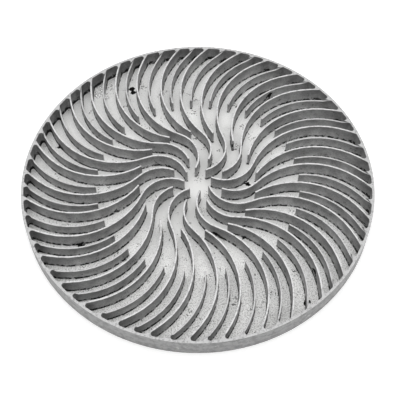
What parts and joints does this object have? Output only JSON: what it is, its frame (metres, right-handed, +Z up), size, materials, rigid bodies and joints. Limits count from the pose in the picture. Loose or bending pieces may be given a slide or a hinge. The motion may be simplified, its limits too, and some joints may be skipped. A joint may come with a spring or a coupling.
{
  "type": "manhole cover",
  "caption": "Round access cover: flat disc, thin raised rim and S-curved upright ribs that swirl in from the rim to an open centre.",
  "frame": {"origin": "centre of the underside, on the cover's axis", "axes": "+Z up along the axis, towards the ribs; -Y towards someone who looks at the front; +X to their right"},
  "size_m": [0.6, 0.6, 0.039],
  "materials": {
    "plate": "blasted, fine speckle",
    "ring": "mill finish, bare top edge",
    "ribs": "mill finish, worn bright top edge"
  },
  "bodies": {
    "root": {"base_plate": "plate", "rim_ring": "ring", "hub_rib_1": "ribs", "hub_rib_2": "ribs", "hub_rib_3": "ribs", "hub_rib_4": "ribs", "hub_rib_5": "ribs", "hub_rib_6": "ribs", "hub_rib_7": "ribs", "hub_rib_8": "ribs", "inner_rib_1": "ribs", "inner_rib_2": "ribs", "inner_rib_3": "ribs", "inner_rib_4": "ribs", "inner_rib_5": "ribs", "inner_rib_6": "ribs", "inner_rib_7": "ribs", "inner_rib_8": "ribs", "middle_rib_01": "ribs", "middle_rib_02": "ribs", "middle_rib_03": "ribs", "middle_rib_04": "ribs", "middle_rib_05": "ribs", "middle_rib_06": "ribs", "middle_rib_07": "ribs", "middle_rib_08": "ribs", "middle_rib_09": "ribs", "middle_rib_10": "ribs", "middle_rib_11": "ribs", "middle_rib_12": "ribs", "middle_rib_13": "ribs", "middle_rib_14": "ribs", "middle_rib_15": "ribs", "middle_rib_16": "ribs"}
  },
  "joints": []
}
